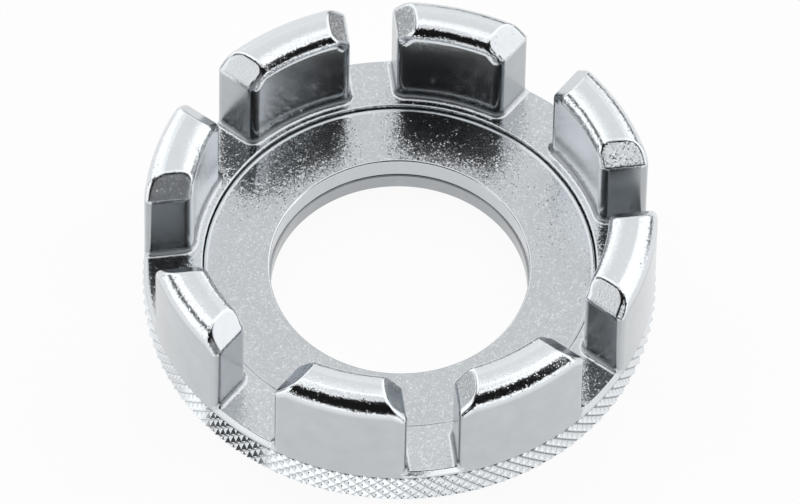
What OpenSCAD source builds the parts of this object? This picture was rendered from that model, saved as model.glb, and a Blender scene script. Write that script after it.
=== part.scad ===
// Round spoke wrench with eight nipple slots.
// A knurled base ring carries a crown of eight lugs, and a centre plate fills the ring inside the crown.
// Each gap between two lugs is a slot with parallel walls, made for one size of spoke nipple.
// Millimetres, Z up, origin on the axis at the underside.

/* [Base ring] */
// Diameter over the crests of the knurl
rim_d = 36; // [32:0.5:44]
// Height of the knurled rim
rim_h = 2.7; // [1.8:0.1:4]
// Thickness of the web under the crown and the plate
base_t = 1.3; // [0.8:0.1:1.6]
// Distance between neighbouring crests around the rim
knurl_pitch = 0.98; // [0.8:0.02:1.6]
// Depth of the knurl from crest to groove
knurl_depth = 0.25; // [0.15:0.05:0.4]
// Plain edge above and below the knurl
rim_edge = 0.1; // [0.05:0.05:0.3]

/* [Bore] */
// How far the base ring stands into the bore
bore_step = 0.1; // [0.05:0.05:0.4]
// Bevel around both mouths of the bore
bore_bevel = 0.15; // [0.05:0.05:0.4]

/* [Crown] */
// How far the lug faces stand inside the knurl crests
crown_inset = 0.1; // [0.05:0.05:0.4]
// Radial thickness of the lugs
lug_t = 3.4; // [2.6:0.05:3.8]
// Height of the lugs above the slot floors
lug_h = 7.65; // [5:0.05:10]
// Height of the slot floors above the rim
lip_h = 0.5; // [0.35:0.05:1.2]
// Width of the ledge between the lugs and the plate
ledge_w = 0.75; // [0.6:0.05:1.4]
// Width of the shoulder that rests on the rim
shoulder_w = 1.5; // [1:0.1:2]
// Length of the sloping facet at each end of a lug
facet = 1.45; // [0.6:0.05:1.8]

/* [Rounding] */
// Radius of the outer long edge on top of the lugs
outer_round = 1.35; // [0.4:0.05:1.8]
// Radius of the inner long edge on top of the lugs
inner_round = 0.85; // [0.3:0.05:1.2]
// Radius of the upright edges of the lugs
corner_round = 0.6; // [0.2:0.05:0.7]
// Fillet at the inner foot of the lugs
foot_fillet = 0.35; // [0.1:0.05:0.5]
// Fillet along the foot of the slot walls
slot_fillet = 0.4; // [0.1:0.05:0.5]
// Bevel at the outer end of the slot floors
floor_bevel = 0.1; // [0.05:0.05:0.34]
// Bevel at the inner edge of the ledge
ledge_bevel = 0.15; // [0.05:0.05:0.3]

/* [Centre plate] */
// Width of the plate from the ledge to the bore
plate_w = 4.65; // [2:0.05:7]
// Thickness of the plate
plate_t = 1.65; // [1:0.05:2]
// Bevel around the outside of the plate
plate_bevel = 0.1; // [0.05:0.05:0.3]
// Radial gap between pieces that fit into each other
fit_gap = 0.03; // [0.01:0.01:0.1]

/* [Slots] */
// Width of the slot at 0 degrees
slot_1_w = 3.75; // [3:0.05:6.5]
// Width of the slot at 45 degrees
slot_2_w = 4.4; // [3:0.05:6.5]
// Width of the slot at 90 degrees
slot_3_w = 3.3; // [3:0.05:6.5]
// Width of the slot at 135 degrees
slot_4_w = 3.65; // [3:0.05:6.5]
// Width of the slot at 180 degrees
slot_5_w = 5.7; // [3:0.05:6.5]
// Width of the slot at 225 degrees
slot_6_w = 4.8; // [3:0.05:6.5]
// Width of the slot at 270 degrees
slot_7_w = 3.55; // [3:0.05:6.5]
// Width of the slot at 315 degrees
slot_8_w = 4; // [3:0.05:6.5]

/* [Hidden] */
$fn = 96;

slot_widths = [slot_1_w, slot_2_w, slot_3_w, slot_4_w, slot_5_w, slot_6_w, slot_7_w, slot_8_w];
slot_step_deg = 360 / len(slot_widths);

// How far cutting shapes run past the faces they cut
overrun = 0.1;
// How far the knurled band runs into the core of the base ring
knurl_root = 0.3;

// Radii from the rim inwards
rim_r = rim_d / 2;
groove_r = rim_r - knurl_depth;
core_r = groove_r - overrun;
crown_r = rim_r - crown_inset;
pocket_r = crown_r - shoulder_w;
spigot_r = pocket_r - fit_gap;
lug_inner_r = crown_r - lug_t;
seat_r = lug_inner_r - ledge_w;
plate_r = seat_r - fit_gap;
bore_r = seat_r - plate_w;
base_bore_r = bore_r - bore_step;

// Heights from the underside upwards
plate_top = base_t + plate_t;
floor_z = rim_h + lip_h;
crown_top = floor_z + lug_h;
facet_z = crown_top - facet;

// The roundings take up no more than these shares of the lug's thickness
outer_limit_share = 0.55;
inner_limit_share = 0.35;
outer_r = min(outer_round, outer_limit_share * lug_t);
inner_r = min(inner_round, inner_limit_share * lug_t);
corner_r = min(corner_round, inner_limit_share * lug_t);
// Where the centre of an upright rounding lies, as a share of its radius behind both faces
corner_sink_share = 0.95;

// The knurl is a checkerboard of crests and grooves. Four equal quarters keep it symmetrical.
quarters = 4;
crests = quarters * round(PI * rim_d / knurl_pitch / quarters);
knurl_columns = 2 * crests;
knurl_h = rim_h - 2 * rim_edge;
knurl_rows = max(2, round(2 * knurl_h / knurl_pitch));

plated = [0.83, 0.84, 0.85];
plated_bright = [0.9, 0.9, 0.91];
plated_satin = [0.76, 0.77, 0.78];

// Knurled band, a closed ring whose outside is a grid of pyramids
function is_crest(column, row) = (column + row) % 2 == 0;
function knurl_point(column, row) =
    let (angle = 360 * column / knurl_columns,
         radius = is_crest(column, row) ? rim_r : groove_r)
    [radius * cos(angle), radius * sin(angle), rim_edge + knurl_h * row / knurl_rows];
function root_point(column, row) =
    let (angle = 360 * column / knurl_columns,
         radius = core_r - knurl_root)
    [radius * cos(angle), radius * sin(angle), rim_edge + knurl_h * row / knurl_rows];
function knurl_index(column, row) = row * knurl_columns + column % knurl_columns;
function root_index(column, top) = (knurl_rows + 1 + top) * knurl_columns + column % knurl_columns;

// Two triangles that share the groove line across one cell of the grid
function cell_faces(a, b, c, d, groove_from_b) =
    groove_from_b ? [[a, d, b], [b, d, c]] : [[a, c, b], [a, d, c]];

module knurled_band() {
    points = concat(
        [for (row = [0 : knurl_rows], column = [0 : knurl_columns - 1]) knurl_point(column, row)],
        [for (row = [0, knurl_rows], column = [0 : knurl_columns - 1]) root_point(column, row)]
    );
    outside = [
        for (row = [0 : knurl_rows - 1], column = [0 : knurl_columns - 1])
            each cell_faces(
                knurl_index(column, row), knurl_index(column + 1, row),
                knurl_index(column + 1, row + 1), knurl_index(column, row + 1),
                is_crest(column, row)
            )
    ];
    ends = [
        for (column = [0 : knurl_columns - 1])
            each [
                [knurl_index(column, 0), knurl_index(column + 1, 0),
                 root_index(column + 1, 0), root_index(column, 0)],
                [root_index(column, 1), root_index(column + 1, 1),
                 knurl_index(column + 1, knurl_rows), knurl_index(column, knurl_rows)],
                [root_index(column, 0), root_index(column + 1, 0),
                 root_index(column + 1, 1), root_index(column, 1)]
            ]
    ];
    polyhedron(points, concat(outside, ends));
}

// Base ring: a shallow cup with the knurl around its wall
module base_ring() {
    color(plated_bright)
    union() {
        rotate_extrude()
        polygon([
            [base_bore_r + bore_bevel, 0],
            [core_r, 0],
            [core_r, rim_h],
            [pocket_r, rim_h],
            [pocket_r, base_t],
            [base_bore_r, base_t],
            [base_bore_r, bore_bevel]
        ]);
        knurled_band();
    }
}

// Section of the crown through a lug, before the slots are cut
module crown_section() {
    // Spigot in the pocket of the base, and the lip on the rim
    polygon([
        [seat_r, base_t],
        [spigot_r, base_t],
        [spigot_r, rim_h],
        [crown_r, rim_h],
        [crown_r, floor_z],
        [seat_r + ledge_bevel, floor_z],
        [seat_r, floor_z - ledge_bevel]
    ]);
    // Lug wall in three steps under its two rounded long edges
    translate([lug_inner_r, rim_h])
    square([lug_t, crown_top - outer_r - rim_h]);
    translate([lug_inner_r, rim_h])
    square([lug_t - outer_r, crown_top - inner_r - rim_h]);
    translate([lug_inner_r + inner_r, rim_h])
    square([lug_t - outer_r - inner_r, crown_top - rim_h]);
    translate([crown_r - outer_r, crown_top - outer_r])
    circle(outer_r);
    translate([lug_inner_r + inner_r, crown_top - inner_r])
    circle(inner_r);
    // Fillet at the inner foot
    difference() {
        translate([lug_inner_r - foot_fillet, floor_z - lip_h])
        square([2 * foot_fillet, lip_h + foot_fillet]);
        translate([lug_inner_r - foot_fillet, floor_z + foot_fillet])
        circle(foot_fillet);
    }
}

// Section of one slot: parallel walls, a flared mouth and fillets left along the floor
module slot_section(width) {
    mouth = width / 2 + facet + overrun;
    difference() {
        union() {
            translate([-width / 2, floor_z])
            square([width, lug_h]);
            polygon([
                [-width / 2, facet_z],
                [width / 2, facet_z],
                [mouth, crown_top + overrun],
                [-mouth, crown_top + overrun]
            ]);
        }
        for (side = [0, 1])
            mirror([side, 0])
            difference() {
                translate([width / 2 - slot_fillet, floor_z - overrun])
                square(slot_fillet + overrun);
                translate([width / 2 - slot_fillet, floor_z + slot_fillet])
                circle(slot_fillet);
            }
    }
}

// Corner outside a round of radius corner_r, where a slot wall meets a face of the lug.
// The way is 1 at the outer face and -1 at the inner face.
module corner_waste(width, face_r, way, foot_z) {
    centre_y = width / 2 + corner_sink_share * corner_r;
    centre_reach = face_r - way * corner_sink_share * corner_r;
    centre_x = sqrt(centre_reach * centre_reach - centre_y * centre_y);
    face_share = 1 + way * (corner_r + overrun) / centre_reach;
    translate([0, 0, foot_z])
    linear_extrude(crown_top + overrun - foot_z)
    difference() {
        polygon([
            [centre_x, centre_y],
            [centre_x, width / 2 - overrun],
            [centre_x + way * (corner_r + 2 * overrun), width / 2 - overrun],
            [centre_x * face_share, centre_y * face_share]
        ]);
        translate([centre_x, centre_y])
        circle(corner_r);
    }
}

// All that one slot takes out of the crown
module slot_waste(width) {
    rotate([90, 0, 90])
    linear_extrude(rim_r)
    slot_section(width);
    for (side = [0, 1])
        mirror([0, side, 0]) {
            corner_waste(width, crown_r, 1, floor_z);
            corner_waste(width, lug_inner_r, -1, floor_z + foot_fillet + overrun);
        }
    intersection() {
        rotate_extrude()
        polygon([
            [crown_r - floor_bevel - overrun, floor_z + overrun],
            [crown_r + overrun, floor_z - floor_bevel - overrun],
            [crown_r + overrun, floor_z + overrun]
        ]);
        translate([0, -width / 2, 0])
        cube([rim_r, width, crown_top]);
    }
}

// Crown: a ring with eight lugs, parted by the slots
module crown() {
    color(plated)
    difference() {
        rotate_extrude()
        crown_section();
        for (slot = [0 : len(slot_widths) - 1])
            rotate([0, 0, slot * slot_step_deg])
            slot_waste(slot_widths[slot]);
    }
}

// Centre plate: a flat washer that lies on the base inside the crown
module centre_plate() {
    color(plated_satin)
    rotate_extrude()
    polygon([
        [bore_r, base_t],
        [plate_r, base_t],
        [plate_r, plate_top - plate_bevel],
        [plate_r - plate_bevel, plate_top],
        [bore_r + bore_bevel, plate_top],
        [bore_r, plate_top - bore_bevel]
    ]);
}

base_ring();
crown();
centre_plate();
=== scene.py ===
"""Round spoke wrench with eight nipple slots: its plated finish, the studio and the camera.

Lengths are millimetres until a mesh is made. The part is in the CAD frame. The studio and the
camera are set up in the photograph's frame, which is the CAD frame turned about Z.
"""
import math

import bpy
import numpy as np
from mathutils import Matrix, Vector


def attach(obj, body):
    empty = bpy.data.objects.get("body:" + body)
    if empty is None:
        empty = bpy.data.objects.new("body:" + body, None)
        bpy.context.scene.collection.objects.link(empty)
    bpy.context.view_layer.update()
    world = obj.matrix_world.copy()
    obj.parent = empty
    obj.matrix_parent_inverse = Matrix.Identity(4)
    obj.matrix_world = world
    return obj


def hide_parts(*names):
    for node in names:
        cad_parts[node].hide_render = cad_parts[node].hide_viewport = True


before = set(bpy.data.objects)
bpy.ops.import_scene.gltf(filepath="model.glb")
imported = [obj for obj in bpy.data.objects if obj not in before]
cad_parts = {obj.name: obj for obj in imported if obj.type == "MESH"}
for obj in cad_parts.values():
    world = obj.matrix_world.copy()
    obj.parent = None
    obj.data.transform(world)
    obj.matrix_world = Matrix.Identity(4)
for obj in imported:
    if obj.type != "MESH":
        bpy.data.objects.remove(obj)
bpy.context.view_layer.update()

MM = 0.001

# Sizes of the part, as in the CAD
RIM_R, RIM_H = 18.0, 2.7
BASE_T = 1.3
POCKET_R, SPIGOT_R = 16.4, 16.37
BASE_BORE_R, BORE_R = 9.0, 9.1
CROWN_R, LUG_INNER_R, SEAT_R = 17.9, 14.5, 13.75
FLOOR_Z, CROWN_TOP = 3.2, 10.85
LUG_H = CROWN_TOP - FLOOR_Z
FACET = 1.45
PLATE_R, PLATE_TOP = 13.71, 2.95
SLOT_WIDTHS = np.array([3.75, 4.4, 3.3, 3.65, 5.7, 4.8, 3.55, 4.0])
SLOTS = len(SLOT_WIDTHS)
SLOT_ANGLES = np.arange(SLOTS) * math.tau / SLOTS
CRESTS = 116

# Roundings and fine forms
OUTER_ROUND, INNER_ROUND = 1.35, 0.85
CORNER_ROUND, CREASE_ROUND, FACET_ROUND = 0.6, 0.1, 0.18
FOOT_FILLET = 0.36
TOP_FALL_IN, TOP_FALL_OUT = 0.045, 0.015
LIP_LEAN, LIP_FOOT, LEDGE_BEVEL = math.radians(60), 0.45, 0.08
LIP_W = LIP_FOOT / math.tan(LIP_LEAN)
EDGE_SOFTNESS, LIP_SOFTNESS = 0.06, 0.02
BEAD_W, BEAD_H = 0.3, 0.06
KNURL_ROW = 0.5

# Finish of the crown, and the painted shade on its facets
FOOT_SATIN, WALL_SATIN = 0.35, 0.07
FROST_RIGHT, FROST_LEFT, FROST_GRAIN, FROST_LEAN = 0.2, 0.5, 2.3, 1.1
FACET_SHADE, FAR_SPARKLE, NEAR_SPARKLE = 0.25, 0.5, 0.35
OUTSIDE_POLISH, INSIDE_POLISH = 0.28, 0.9
WALL_GRAIN, INSIDE_GRAIN, TOP_GRAIN, CURVE_GRAIN = 0.04, 0.15, 0.3, 0.7
LIP_SMOOTHNESS = 0.8

# Steps of the crown's mesh
GRADING = 1.6
SETTLE_ROUNDS, UNTANGLE_ROUNDS = 8, 10
SLOPE_STEP, LEAST_STEEPNESS = 1e-3, 0.2
SQUARE = ((0, 0), (1, 0), (1, 1), (0, 1))


def smoothstep(low, high, value):
    """0 at low, 1 at high and smooth between them, where low may be the larger one."""
    share = np.clip((value - low) / (high - low), 0, 1)
    return share * share * (3 - 2 * share)


def graded(length, count):
    """Stations from 0 to length that lie closer together near 0."""
    return length * (np.arange(count + 1) / count) ** GRADING


def unit(vectors):
    return vectors / np.linalg.norm(vectors, axis=-1, keepdims=True)


def round_and(a, b, radius):
    """Distance to the overlap of two shapes, with the edge between them rounded."""
    return np.minimum(-radius, np.maximum(a, b)) + np.hypot(
        np.maximum(radius + a, 0), np.maximum(radius + b, 0))


def round_or(a, b, radius):
    """Distance to the union of two shapes, with a fillet in the corner between them."""
    return np.maximum(radius, np.minimum(a, b)) - np.hypot(
        np.maximum(radius - a, 0), np.maximum(radius - b, 0))


# Meshes

def quad_normals(points, faces):
    """Unit normals of four-sided faces."""
    corner = points[faces]
    return unit(np.cross(corner[:, 2] - corner[:, 0], corner[:, 3] - corner[:, 1]))


def make_piece(name, points, faces, face_normals, finish, node, slot, material):
    """Mesh piece that stands for a CAD node.

    face_normals gives the normal of each corner of each face, and finish the named shares of each point
    that the material reads.
    """
    mesh = bpy.data.meshes.new(name)
    mesh.from_pydata((points * MM).tolist(), [], faces.tolist())
    mesh.polygons.foreach_set("use_smooth", [True] * len(mesh.polygons))
    mesh.normals_split_custom_set(face_normals.reshape(-1, 3).tolist())
    for title, values in finish.items():
        mesh.attributes.new(title, "FLOAT", "POINT").data.foreach_set("value", np.ravel(values))
    mesh.materials.append(material)
    piece = bpy.data.objects.new(name, mesh)
    bpy.context.scene.collection.objects.link(piece)
    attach(piece, "root")
    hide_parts(node)


def rounded_profile(corners, radii, steps):
    """Closed section with an arc of a number of steps at each corner: points and normals as (r, z)."""
    corners = np.array(corners, float)
    points, normals = [], []
    for before, here, after, radius in zip(np.roll(corners, 1, 0), corners, np.roll(corners, -1, 0), radii):
        way_in, way_out = unit(here - before), unit(after - here)
        turn = math.atan2(way_in[0] * way_out[1] - way_in[1] * way_out[0], way_in @ way_out)
        start = here - radius * abs(math.tan(turn / 2)) * way_in
        side = math.copysign(1, turn)
        centre = start + side * radius * np.array([-way_in[1], way_in[0]])
        normal_in = np.array([way_in[1], -way_in[0]])
        for step in range(steps + 1):
            angle = turn * step / steps
            spin = np.array([[math.cos(angle), -math.sin(angle)], [math.sin(angle), math.cos(angle)]])
            normal = spin @ normal_in
            points.append(centre + side * radius * normal)
            normals.append(normal)
    return np.array(points), np.array(normals)


def ring_grid(points, normals):
    """Points, faces and corner normals of a grid of points[row, column], closed both ways."""
    rows, columns = points.shape[:2]
    index = np.arange(rows * columns).reshape(rows, columns)
    across, up = np.roll(index, -1, 1), np.roll(index, -1, 0)
    diagonal = np.roll(across, -1, 0)
    faces = np.stack([index, across, diagonal, up], axis=-1).reshape(-1, 4)
    return points.reshape(-1, 3), faces, normals.reshape(-1, 3)[faces]


def lathe(profile, profile_normals, columns):
    """Grid of points and normals from a section turned about Z."""
    angle = np.arange(columns) * math.tau / columns
    spin = np.stack([np.cos(angle), np.sin(angle)], axis=-1)

    def turn(section):
        flat = section[:, None, :1] * spin[None]
        return np.concatenate([flat, np.repeat(section[:, None, 1:], columns, axis=1)], axis=-1)
    return turn(profile), turn(profile_normals)


# Crown

def crown_distance(points, sector):
    """Signed distance to the crown near the lug of each point's sector."""
    x, y, z = points.T
    radius = np.hypot(x, y)
    top, outer, floor = z - CROWN_TOP, radius - CROWN_R, z - FLOOR_Z
    # The lug's section, whose top falls a little to both sides
    flat = CROWN_R - OUTER_ROUND - LUG_INNER_R - INNER_ROUND
    off_middle = (radius - LUG_INNER_R - INNER_ROUND) * 2 / flat - 1
    fall = np.where(off_middle < 0, TOP_FALL_IN, TOP_FALL_OUT)
    crowned = top + fall * np.where(np.abs(off_middle) < 1, off_middle ** 2, 2 * np.abs(off_middle) - 1)
    wall = round_and(round_and(crowned, outer, OUTER_ROUND), LUG_INNER_R - radius, INNER_ROUND)
    # Its two ends, each a slot wall with a sloped facet above, and sharper corners towards the top
    ends = []
    for slot, way in ((sector, 1), ((sector + 1) % SLOTS, -1)):
        angle = SLOT_ANGLES[slot]
        depth = way * (np.cos(angle) * y - np.sin(angle) * x) - SLOT_WIDTHS[slot] / 2
        slope = (FACET - depth + top) / math.sqrt(2)
        ends.append(round_and(-depth, slope, FACET_ROUND))
    crease = smoothstep(-OUTER_ROUND, 0, top)
    edge = CORNER_ROUND + (CREASE_ROUND - CORNER_ROUND) * crease
    lug = round_and(wall, np.maximum(*ends), edge)
    # The ring with the slot floors, their sloped lip and the bevelled edge of the seat
    lip = outer * math.sin(LIP_LEAN) + (floor + LIP_FOOT) * math.cos(LIP_LEAN)
    rim = round_and(floor, lip, LIP_SOFTNESS)
    rim = round_and(rim, outer, EDGE_SOFTNESS)
    seat = (SEAT_R - radius + floor + LEDGE_BEVEL) / math.sqrt(2)
    rim = round_and(round_and(rim, seat, EDGE_SOFTNESS), SEAT_R - radius, EDGE_SOFTNESS)
    return round_or(rim, lug, FOOT_FILLET * smoothstep(0, FOOT_FILLET, -outer))


def crown_slope(points, sector):
    """Gradient of the distance, by central differences."""
    slope = np.empty_like(points)
    for axis in range(3):
        shift = np.zeros(3)
        shift[axis] = SLOPE_STEP
        slope[:, axis] = (crown_distance(points + shift, sector)
                          - crown_distance(points - shift, sector)) / (2 * SLOPE_STEP)
    return slope


def settle(points, sectors, moving):
    """Move the points marked as moving on to the crown's surface."""
    for _ in range(SETTLE_ROUNDS):
        spot, part = points[moving], sectors[moving]
        slope = crown_slope(spot, part)
        steepness = np.maximum(np.einsum("ij,ij->i", slope, slope), LEAST_STEEPNESS)
        points[moving] -= (crown_distance(spot, part) / steepness)[:, None] * slope


def untangle(points, sectors, faces, on_surface, plain):
    """Spread the points of faces that came out folded, where the lattice is tight."""
    sides = np.concatenate([faces[:, [here, (here + 1) % 4]] for here in range(4)])
    start, end = np.concatenate([sides, sides[:, ::-1]]).T
    neighbours = np.bincount(start, minlength=len(points))
    for _ in range(UNTANGLE_ROUNDS):
        slope = crown_slope(points, sectors)[faces].mean(axis=1)
        facing = np.einsum("ij,ij->i", quad_normals(points, faces), slope)
        folded = (facing < 0) & ~plain
        if not folded.any():
            return
        loose = np.zeros(len(points), bool)
        loose[faces[folded]] = True
        loose &= on_surface
        total = np.stack([np.bincount(start, points[end, axis], len(points)) for axis in range(3)], axis=-1)
        points[loose] = total[loose] / neighbours[loose, None]
        settle(points, sectors, loose)


def crown_columns():
    """Columns on one side of a slot: shares of the way out to the first graded one, and the depths into
    the lug of the graded ones, which start in the slot and crowd at both edges of the facet."""
    slot_shares = np.array([0, 1 / 3, 2 / 3])
    slot_reach, slot_steps = 0.6, 7
    top_reach, top_steps = 0.5, 6
    facet_steps = 8
    in_slot, past_facet = graded(slot_reach, slot_steps), graded(top_reach, top_steps)
    half_facet = graded(FACET / 2, facet_steps)
    depths = np.concatenate([
        -in_slot[:0:-1], half_facet, (FACET - half_facet)[-2::-1], FACET + past_facet[1:]])
    return slot_shares, depths


def crown_rows():
    """Radii of the rows from the seat to the rim, crowded at the lug's foot, its edges and the lip."""
    ledge_rows, foot_steps, inner_steps, flat_rows, outer_steps = 9, 6, 10, 5, 14
    half_ledge = (LUG_INNER_R - SEAT_R) / 2
    lip_edges = [LIP_W - LIP_SOFTNESS, LIP_W + LIP_SOFTNESS]
    from_rim = np.sort(np.append(graded(OUTER_ROUND, outer_steps), lip_edges))
    return np.concatenate([
        SEAT_R + np.linspace(0, half_ledge, ledge_rows),
        LUG_INNER_R - graded(half_ledge, foot_steps)[-2:0:-1],
        LUG_INNER_R + graded(INNER_ROUND, inner_steps),
        np.linspace(LUG_INNER_R + INNER_ROUND, CROWN_R - OUTER_ROUND, flat_rows)[1:-1],
        CROWN_R - from_rim[::-1]])


def crown_levels():
    """Heights of the levels as shares of the lug, crowded at its foot and its top."""
    foot_reach, foot_steps = 0.7, 8
    top_reach, top_steps = 1.6, 16
    wall_levels = 9
    low, high = graded(foot_reach, foot_steps), graded(top_reach, top_steps)
    between = np.linspace(low[-1], LUG_H - high[-1], wall_levels)[1:-1]
    return np.concatenate([low, between, LUG_H - high[::-1]]) / LUG_H


def crown_lattice():
    """Rough lattice of the crown, with every face wound outward.

    Returns the points, the sector of each one, which of them settle on the surface, the faces, and which
    faces are plain ones that stay as they are.
    """
    middle_columns, lip_count, seat_count = 14, 7, 5
    slot_shares, depths = crown_columns()
    wall_column = len(slot_shares) + int(np.argmin(np.abs(depths)))
    half_columns = len(slot_shares) + len(depths)
    per_sector = 2 * half_columns + middle_columns - 1     # the next sector starts on the last column
    last = per_sector - wall_column
    rows, levels = crown_rows(), crown_levels()
    foot_row, end_row = int(np.argmin(np.abs(rows - LUG_INNER_R))), len(rows) - 1
    top_level = len(levels) - 1
    lip_levels = np.linspace(FLOOR_Z, RIM_H, lip_count)
    seat_levels = np.linspace(FLOOR_Z, BASE_T, seat_count)
    hidden = [(CROWN_R, RIM_H), (SPIGOT_R, RIM_H), (SPIGOT_R, BASE_T), (SEAT_R, BASE_T)]

    def angle_at(column, sector, radius):
        """Angle of a column at a radius, where columns near a slot run parallel to its walls."""
        def from_slot(place, slot, way):
            half = SLOT_WIDTHS[slot] / 2
            if place < len(slot_shares):
                across = slot_shares[place] * (half + depths[0])
            else:
                across = half + depths[min(place - len(slot_shares), len(depths) - 1)]
            return SLOT_ANGLES[slot] + way * math.asin(across / radius)
        following = (sector + 1) % SLOTS
        turn = math.tau if following == 0 else 0
        share = np.clip((column - half_columns + 1) / (middle_columns + 1), 0, 1)
        here = from_slot(column, sector, 1) if share < 1 else 0
        there = from_slot(per_sector - column, following, -1) + turn if share > 0 else 0
        return (1 - share) * here + share * there

    def lug_top(column):
        place = min(column, per_sector - column) - len(slot_shares)
        depth = depths[np.clip(place, 0, len(depths) - 1)]
        return CROWN_TOP - np.clip(FACET - depth, 0, FACET)

    keys, points, sectors, on_surface = {}, [], [], []

    def vertex(sector, column, row, level, extra=None):
        """Index of a lattice point. extra gives the radius and height of a point outside the lattice."""
        if column == per_sector:
            sector, column = (sector + 1) % SLOTS, 0
        key = (sector, column, row, level, extra)
        if key not in keys:
            keys[key] = len(points)
            radius = extra[0] if extra else rows[row]
            angle = angle_at(column, sector, radius)
            height = extra[1] if extra else FLOOR_Z + levels[level] * (lug_top(column) - FLOOR_Z)
            points.append((radius * math.cos(angle), radius * math.sin(angle), height))
            sectors.append(sector)
            on_surface.append(extra is None or (extra[0] == CROWN_R and extra[1] > RIM_H))
        return keys[key]

    def edge_vertex(sector, column, radius, height):
        """Index of a point of the rim or seat. Their upper edges are lattice points."""
        if height == FLOOR_Z:
            return vertex(sector, column, end_row if radius == CROWN_R else 0, 0)
        return vertex(sector, column, 0, 0, (radius, height))

    faces, plain = [], []

    def quad(corners, turned=False, is_plain=False):
        faces.append(tuple(corners)[::-1 if turned else 1])
        plain.append(is_plain)

    for sector in range(SLOTS):
        for column in range(per_sector):
            in_lug = wall_column <= column < last
            for row in range(end_row):
                level = top_level if in_lug and row >= foot_row else 0
                quad((vertex(sector, column + c, row + r, level) for c, r in SQUARE), turned=True)
            if in_lug:
                for level in range(top_level):
                    for row in (foot_row, end_row):
                        quad((vertex(sector, column + c, row, level + k) for c, k in SQUARE),
                             turned=row == foot_row)
            for radius, heights in ((CROWN_R, lip_levels), (SEAT_R, seat_levels)):
                for step in zip(heights, heights[1:]):
                    quad((edge_vertex(sector, column + c, radius, step[k]) for c, k in SQUARE),
                         turned=radius == CROWN_R, is_plain=radius == SEAT_R)
            for step in zip(hidden, hidden[1:]):
                quad((edge_vertex(sector, column + c, *step[k]) for c, k in SQUARE),
                     turned=True, is_plain=True)
        for column in (wall_column, last):
            for row in range(foot_row, end_row):
                for level in range(top_level):
                    quad((vertex(sector, column, row + r, level + k) for r, k in SQUARE),
                         turned=column == last)
    return tuple(np.array(part) for part in (points, sectors, on_surface, faces, plain))


def crown_finish(points, normals):
    """Shares of polish with painted shade, of grain and of matte at each point, and how far the grains there
    lean up.
    """
    x, y, z = points.T
    radius = np.hypot(x, y)
    outward = (x * normals[:, 0] + y * normals[:, 1]) / radius
    along = np.abs(x * normals[:, 1] - y * normals[:, 0]) / radius
    upward = normals[:, 2]
    height = z - FLOOR_Z

    # Where each form is
    lugs = np.maximum(smoothstep(0.02, 0.15, height), smoothstep(0.92, 0.97, outward))
    off_floor = smoothstep(0.02, 0.1, height)
    inside, outside = smoothstep(0.5, 0.9, -outward), smoothstep(0.5, 0.9, outward)
    foot = off_floor * smoothstep(0.7, 0.2, height) * (1 - outside)
    slot_wall = off_floor * smoothstep(0.7, 0.9, along) * smoothstep(0.5, 0.2, upward)
    facet = smoothstep(0.35, 0.6, along) * smoothstep(0.4, 0.6, upward) * smoothstep(1, 2, height)
    far_facet = facet * smoothstep(0, 12, y)
    near_facet = facet * smoothstep(-11.05, -11.2, y)
    rounded = smoothstep(0.05, 0.4, upward)
    curved = rounded * smoothstep(0.999, 0.98, upward)
    lip = smoothstep(0.05, -0.05, height) * smoothstep(0.8, 0.85, outward) * smoothstep(0.95, 0.9, outward)
    # Two facets that face one way were left frosted, and the grains of the right one lean up
    frosted = facet * smoothstep(0.6, 0.68, -normals[:, 1])
    on_right = x > 0

    satin = np.maximum(FOOT_SATIN * foot, WALL_SATIN * slot_wall)
    matte = np.maximum(satin, frosted * np.where(on_right, FROST_RIGHT, FROST_LEFT))
    # Painted shade on the facets: their polish, and so their colour, drops by a quarter, by half on the far
    # side, and not at all on the near side
    facet_shade = FACET_SHADE * (facet - near_facet + far_facet)
    bright = np.maximum(rounded, OUTSIDE_POLISH * outside + INSIDE_POLISH * inside)
    polish = np.maximum(lip, lugs * (1 - matte) * (1 - facet_shade) * bright)
    sparkling = FAR_SPARKLE * far_facet * smoothstep(-8, -4, x) + NEAR_SPARKLE * near_facet
    top_grain = (1 - facet) * (TOP_GRAIN * rounded + CURVE_GRAIN * curved)
    lug_grain = WALL_GRAIN + INSIDE_GRAIN * inside + top_grain + FROST_GRAIN * frosted + sparkling
    grain = (1 + (lug_grain - 1) * lugs) * (1 - LIP_SMOOTHNESS * lip)
    lean_up = frosted * np.where(on_right, FROST_LEAN, 0)
    return {"polish": polish, "grain": grain, "matte": matte}, lean_up


def build_crown(material):
    points, sectors, on_surface, faces, plain = crown_lattice()
    settle(points, sectors, on_surface)
    untangle(points, sectors, faces, on_surface, plain)
    normals = unit(crown_slope(points, sectors))
    finish, lean_up = crown_finish(points, normals)
    normals[:, 2] += lean_up
    face_normals = unit(normals)[faces]
    face_normals[plain] = quad_normals(points, faces[plain])[:, None]
    make_piece("crown_plated", points, faces, face_normals, finish, "crown", "crown_plate", material)


# Base ring and centre plate

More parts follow.
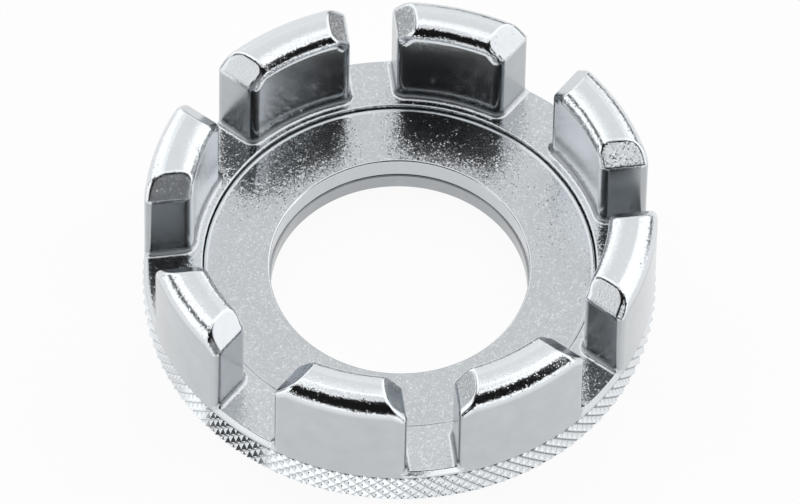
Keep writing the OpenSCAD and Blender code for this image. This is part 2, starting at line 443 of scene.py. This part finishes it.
def build_base_ring(material):
    per_crest, knurl_rows = 12, 54
    relief_rising, relief_falling = 0.38, 0.25
    edge_r, edge_slope = 17.72, 2.4      # the rim is bevelled above and below the knurl
    edge_round, round_steps = 0.07, 2
    columns = CRESTS * per_crest
    angle = np.arange(columns) * math.tau / columns
    height = np.linspace(0, RIM_H, knurl_rows + 1)
    around = np.arange(columns) / per_crest
    upward = ((height - RIM_H / 2) / (2 * KNURL_ROW))[:, None]

    # Two crossing families of grooves, one deeper than the other, leave pyramids
    off_rising, off_falling = (
        2 * np.abs(phase - np.round(phase)) for phase in (around + upward, around - upward))
    pyramid = RIM_R - np.maximum(relief_rising * off_rising, relief_falling * off_falling)
    bevel = edge_r + edge_slope * np.minimum(height, RIM_H - height)[:, None]
    radius = np.minimum(pyramid, bevel)
    radius[[0, -1]] = edge_r             # the edges themselves are plain circles
    band = np.stack([radius * np.cos(angle), radius * np.sin(angle),
                     np.broadcast_to(height[:, None], radius.shape)], axis=-1)

    # The rest of the section, without its outer corners, which are the edges of the knurled band
    corners = [(edge_r, RIM_H), (POCKET_R, RIM_H), (POCKET_R, BASE_T), (BASE_BORE_R, BASE_T),
               (BASE_BORE_R, 0), (edge_r, 0)]
    profile, normals = rounded_profile(corners, [edge_round] * len(corners), round_steps)
    corner_points = round_steps + 1
    inside = slice(corner_points, -corner_points)
    points, point_normals = lathe(profile[inside], normals[inside], columns)
    grid = np.concatenate([band, points])
    grid_normals = np.concatenate([np.zeros_like(band), point_normals])

    # The pyramids keep the bright level. Painted shade darkens the grooves, more widely along the rising
    # ones, and a painted shadow turns the gaps between the topmost pyramids, under the crown, near black
    polish, grain = np.zeros(grid.shape[:2]), np.ones(grid.shape[:2])
    on_band = slice(0, len(band))
    near_groove = np.maximum(off_rising, off_falling)
    gap_shadow = smoothstep(0.5, 0.25, RIM_H - height)[:, None] * smoothstep(0.5, 0.7, near_groove)
    # Less grain in the gaps picks the knurl's smooth level, which is the painted shadow there
    grain[on_band] = 1 - gap_shadow
    polish[on_band] = smoothstep(1, 0.78, off_rising) * smoothstep(1, 0.86, off_falling) * (1 - gap_shadow)

    # The band and the two rings beside it have flat faces
    points, faces, face_normals = ring_grid(grid, grid_normals)
    for flat_faces in (slice(0, columns * len(band)), slice(-columns, None)):
        face_normals[flat_faces] = quad_normals(points, faces[flat_faces])[:, None]
    finish = {"polish": polish, "grain": grain, "matte": np.zeros_like(grain)}
    make_piece("base_ring_plated", points, faces, face_normals, finish,
               "base_ring", "knurled_plate", material)


def build_centre_plate(material):
    columns, round_steps = 384, 8
    edge_round, bead_round, bore_round = 0.13, 0.4, 0.14
    edge_smoothness = 0.7
    profile, normals = rounded_profile(
        [(BORE_R, BASE_T), (PLATE_R, BASE_T), (PLATE_R, PLATE_TOP + BEAD_H), (PLATE_R - BEAD_W, PLATE_TOP),
         (BORE_R, PLATE_TOP)],
        [edge_round, edge_round, edge_round, bead_round, bore_round], round_steps)
    grid, grid_normals = lathe(profile, normals, columns)
    upward = grid_normals[..., 2]
    # The edges are worn bright and have less grain
    polish = smoothstep(0.98, 0.9, upward) * smoothstep(0, 0.5, upward)
    grain = 1 - edge_smoothness * smoothstep(1, 0.995, upward)
    finish = {"polish": polish, "grain": grain, "matte": np.zeros_like(grain)}
    make_piece("centre_plate_satin", *ring_grid(grid, grid_normals), finish,
               "centre_plate", "satin_plate", material)


# Materials

class Nodes:
    """Node tree of a material or world, with short calls to add nodes and links."""

    def __init__(self, owner):
        owner.use_nodes = True
        self.tree = owner.node_tree
        self.tree.nodes.clear()

    def add(self, kind, inputs=None, **settings):
        made = self.tree.nodes.new(kind)
        for title, value in settings.items():
            setattr(made, title, value)
        for socket, value in (inputs or {}).items():
            if isinstance(value, bpy.types.NodeSocket):
                self.tree.links.new(value, made.inputs[socket])
            else:
                made.inputs[socket].default_value = value
        return made

    def math(self, operation, *values):
        return self.add("ShaderNodeMath", dict(enumerate(values)), operation=operation).outputs[0]

    def ramp(self, value, low, high, start=0.0, end=1.0):
        """Smooth step from start to end as a value goes from low to high."""
        return self.add("ShaderNodeMapRange", {"Value": value, "From Min": low, "From Max": high,
                                               "To Min": start, "To Max": end},
                        interpolation_type="SMOOTHSTEP").outputs["Result"]

    def mix(self, factor, low, high):
        return self.add("ShaderNodeMix", {"Factor": factor, "A": low, "B": high}).outputs[0]

    def vector(self, operation, *values):
        return self.add("ShaderNodeVectorMath", dict(enumerate(values)), operation=operation).outputs[0]

    def scaled(self, vector, amount):
        return self.add("ShaderNodeVectorMath", {0: vector, "Scale": amount}, operation="SCALE").outputs[0]

    def noise(self, place, size, detail):
        """Noise with features of a size in millimetres."""
        return self.add("ShaderNodeTexNoise", {"Vector": place, "Scale": 1 / (size * MM),
                                               "Detail": detail}).outputs["Fac"]

    def attribute(self, title):
        return self.add("ShaderNodeAttribute", attribute_name=title).outputs["Fac"]


COOL = (0.96, 1.0, 1.035)
CRYSTAL, RIPPLE, CLUMP, PATCH = 0.08, 0.15, 0.35, 1.6
CLUMP_LOW, CLUMP_HIGH = 1.6, 5.6
PATCH_SHARE = 0.3
MATTE_ROUGHNESS = 0.9


def grey(level):
    return (level, level, level, 1.0)


def plated_metal(name, smooth_and_shadow, grainy_and_shade, polished, grain_tilt, ripple_height):
    """Plated metal whose finish follows the polish, grain and matte attributes of the mesh, where polish and
    grain also carry painted shade.

    smooth, grainy and polished are pairs of a grey level and a roughness, and a piece may use its smooth and
    grainy levels as painted shade. The grain is of tiny flat crystals that each lean their own way. Fine
    ripples and patches of tone and gloss are everywhere.
    """
    material = bpy.data.materials.new(name)
    nodes = Nodes(material)
    place = nodes.add("ShaderNodeTexCoord").outputs["Object"]
    polish, grain, matte = (nodes.attribute(title) for title in ("polish", "grain", "matte"))
    patches = nodes.math("SUBTRACT", nodes.noise(place, PATCH, 3.0), 0.5)
    finish = nodes.math("MULTIPLY_ADD", patches, PATCH_SHARE, polish)
    level, gloss = (
        nodes.mix(finish, nodes.mix(grain, smooth_and_shadow[part], grainy_and_shade[part]), polished[part]) for part in (0, 1))
    roughness = nodes.mix(matte, gloss, MATTE_ROUGHNESS)
    colour = nodes.scaled(COOL, level)

    # Each crystal leans by a random vector, a few of them far, and most in scattered clumps
    crystal = nodes.add("ShaderNodeTexVoronoi", {
        "Vector": place, "Scale": 1 / (CRYSTAL * MM)}).outputs["Color"]
    lean = nodes.vector("SUBTRACT", crystal, (0.5, 0.5, 0.5))
    far_lean = nodes.add("ShaderNodeVectorMath", {0: lean, 1: lean}, operation="DOT_PRODUCT").outputs["Value"]
    clumps = nodes.ramp(nodes.noise(place, CLUMP, 2.0), 0.3, 0.7, CLUMP_LOW, CLUMP_HIGH)
    amount = nodes.math("MULTIPLY", nodes.math("MULTIPLY", grain, clumps),
                        nodes.math("MULTIPLY", far_lean, grain_tilt))
    normal = nodes.add("ShaderNodeNewGeometry").outputs["Normal"]
    grained = nodes.vector("NORMALIZE", nodes.vector("ADD", normal, nodes.scaled(lean, amount)))
    rippled = nodes.add("ShaderNodeBump", {
        "Height": nodes.noise(place, RIPPLE, 1.0), "Strength": 1.0, "Distance": ripple_height * MM,
        "Normal": grained}).outputs["Normal"]
    shader = nodes.add("ShaderNodeBsdfPrincipled", {
        "Base Color": colour, "Metallic": 1.0, "Roughness": roughness, "Normal": rippled})
    nodes.add("ShaderNodeOutputMaterial", {"Surface": shader.outputs["BSDF"]})
    return material


# Studio

PHOTO_TURN = math.radians(-8.35)        # from the photograph's frame to the CAD frame, about Z
WHITE, FAR_GREY, PANEL_GREY, TOP_GREY = 1.4, 0.9, 1.0, 0.92
HORIZON_GREY, LEFT_GREY, LOW_GREY, SEAM_GREY, DARK = 0.15, 0.4, 0.8, 0.14, 0.008


def build_world():
    """Bright tent, grey overhead, across the far side and low on the left, and dim along the far horizon,
    with a dark opening behind the camera and a narrow shadow that rises to it from the left."""
    world = bpy.data.worlds.new("studio")
    bpy.context.scene.world = world
    roof_soft, sill_soft = 0.012, 0.02
    nodes = Nodes(world)
    direction = nodes.add("ShaderNodeTexCoord").outputs["Generated"]
    turned = nodes.add("ShaderNodeVectorRotate", {
        "Vector": direction, "Axis": (0, 0, 1), "Angle": -PHOTO_TURN},
        rotation_type="AXIS_ANGLE").outputs["Vector"]
    x, y, z = nodes.add("ShaderNodeSeparateXYZ", {"Vector": turned}).outputs
    # Angle about Z, 0 behind the camera and positive to the right
    side = nodes.math("ARCTAN2", x, nodes.math("MULTIPLY", y, -1.0))
    off_centre = nodes.math("ABSOLUTE", x)

    def sine(degrees):
        return math.sin(math.radians(degrees))

    def above(degrees, soft):
        return nodes.ramp(z, sine(degrees - soft), sine(degrees + soft))

    def right_of(limit, soft):
        """1 to the right of an angle in degrees, which may be a socket in radians."""
        if not isinstance(limit, bpy.types.NodeSocket):
            limit = math.radians(limit)
        return nodes.ramp(nodes.math("SUBTRACT", side, limit), -math.radians(soft), math.radians(soft))

    def both(*masks):
        product = masks[0]
        for mask in masks[1:]:
            product = nodes.math("MULTIPLY", product, mask)
        return product

    def other(mask):
        return nodes.math("SUBTRACT", 1.0, mask)

    # The opening is highest in the middle, leans over to the left, and has a notch in its sill
    roof = nodes.ramp(nodes.math("ABSOLUTE", side), math.radians(10), math.radians(75), sine(75), sine(58))
    under_roof = nodes.ramp(nodes.math("SUBTRACT", roof, z), -roof_soft, roof_soft)
    off_notch = nodes.math("ABSOLUTE", nodes.math("ADD", side, math.radians(2)))
    sill = nodes.ramp(off_notch, math.radians(10), math.radians(17), sine(3), sine(9))
    over_sill = nodes.ramp(nodes.math("SUBTRACT", z, sill), -sill_soft, sill_soft)
    left_edge = nodes.ramp(z, sine(30), sine(48), math.radians(-57), math.radians(-84))
    right_edge = nodes.ramp(z, sine(35), sine(52), math.radians(74), math.radians(85))
    opening = both(over_sill, under_roof, right_of(left_edge, 4), other(right_of(right_edge, 10)))
    # The shadow that rises to it, and the grey below that
    seam_height = nodes.ramp(side, math.radians(-125), math.radians(-60), sine(26), sine(52))
    off_seam = nodes.math("ABSOLUTE", nodes.math("SUBTRACT", z, seam_height))
    seam = both(nodes.ramp(off_seam, 0.24, 0.06), right_of(-125, 12), other(right_of(-60, 8)))
    low_left = both(above(1.5, 1), other(above(8, 3)), right_of(-75, 6), other(right_of(-28, 5)))
    # The far side: a panel, the strip above it, and the horizon on the right and the left
    far = nodes.ramp(y, 0.0, 0.3)
    panel = both(other(above(46, 6)), nodes.ramp(off_centre, 0.5, 0.25), far)
    strip = both(above(46, 6), other(above(60, 4)), far, nodes.ramp(off_centre, 0.26, 0.14))
    low = both(above(-12, 1), other(above(8, 4)))
    horizon = both(low, nodes.ramp(y, 0.3, 0.45), nodes.ramp(x, -0.1, 0.2))
    far_left = both(low, nodes.ramp(y, 0.25, 0.35), nodes.ramp(y, 0.6, 0.5), nodes.ramp(x, 0.0, -0.2))
    strength = WHITE
    for mask, level in ((above(76, 4), TOP_GREY), (strip, FAR_GREY), (panel, PANEL_GREY),
                        (horizon, HORIZON_GREY), (far_left, LEFT_GREY), (low_left, LOW_GREY),
                        (seam, SEAM_GREY), (opening, DARK)):
        strength = nodes.mix(mask, strength, level)
    background = nodes.add("ShaderNodeBackground", {"Color": grey(1.0), "Strength": strength})
    nodes.add("ShaderNodeOutputWorld", {"Surface": background.outputs["Background"]})


def build_floor():
    """Pale floor that the camera and the metal see as white, with the soft shadow of the part."""
    radius, drop, spokes = 120.0, 0.02, 64
    paint_level, white_share = 0.95, 0.93
    material = bpy.data.materials.new("floor_white")
    nodes = Nodes(material)
    rays = nodes.add("ShaderNodeLightPath").outputs
    seen = nodes.math("MAXIMUM", rays["Is Camera Ray"],
                      nodes.math("MAXIMUM", rays["Is Glossy Ray"], rays["Is Transmission Ray"]))
    paint = nodes.add("ShaderNodeBsdfDiffuse", {"Color": grey(paint_level)})
    glow = nodes.add("ShaderNodeEmission", {"Color": grey(1.0), "Strength": 1.0})
    shown = nodes.add("ShaderNodeMixShader", {"Fac": nodes.math("MULTIPLY", seen, white_share),
                                              1: paint.outputs[0], 2: glow.outputs[0]})
    nodes.add("ShaderNodeOutputMaterial", {"Surface": shown.outputs[0]})
    angle = np.arange(spokes) * math.tau / spokes
    rim = np.stack([radius * np.cos(angle), radius * np.sin(angle), np.full(spokes, -drop)], axis=-1)
    mesh = bpy.data.meshes.new("studio_floor")
    mesh.from_pydata((rim * MM).tolist(), [], [list(range(spokes))])
    mesh.materials.append(material)
    floor = bpy.data.objects.new("studio_floor", mesh)
    bpy.context.scene.collection.objects.link(floor)


def build_camera():
    """Camera fitted to the photograph: far off with a long lens, from 54 degrees above the floor."""
    target, distance = Vector((0.0077, 1.190, 3.0)), 983.8
    elevation, roll = 0.949, 0.021
    sensor, image_width, focal_pixels = 36.0, 800, 14049.95
    back = Vector((0, -math.cos(elevation), math.sin(elevation)))
    right = Vector((1, 0, 0))
    up = back.cross(right)
    tilted_right = math.cos(roll) * right + math.sin(roll) * up
    tilted_up = -math.sin(roll) * right + math.cos(roll) * up
    place = Matrix((tilted_right, tilted_up, back)).transposed().to_4x4()
    place.translation = (target + distance * back) * MM
    lens = bpy.data.cameras.new("photo_camera")
    lens.sensor_width = sensor
    lens.lens = focal_pixels / image_width * sensor
    lens.clip_start, lens.clip_end = 0.05, 20
    camera = bpy.data.objects.new("photo_camera", lens)
    bpy.context.scene.collection.objects.link(camera)
    camera.matrix_world = Matrix.Rotation(PHOTO_TURN, 4, "Z") @ place
    bpy.context.scene.camera = camera


build_crown(plated_metal(
    "plated_crown", smooth_and_shadow=(0.45, 0.17), grainy_and_shade=(0.6, 0.15), polished=(0.75, 0.15),
    grain_tilt=0.115, ripple_height=0.003))
# On the knurl the smooth level is the painted shadow in the gaps under the crown, and the grainy level the
# painted shade in the grooves
build_base_ring(plated_metal(
    "plated_knurl", smooth_and_shadow=(0.03, 0.4), grainy_and_shade=(0.4, 0.22), polished=(0.79, 0.12),
    grain_tilt=0.0, ripple_height=0.0))
build_centre_plate(plated_metal(
    "plated_satin", smooth_and_shadow=(0.57, 0.16), grainy_and_shade=(0.57, 0.16), polished=(0.8, 0.14),
    grain_tilt=0.11, ripple_height=0.001))
build_world()
build_floor()
build_camera()
bpy.context.scene.view_settings.view_transform = "Standard"
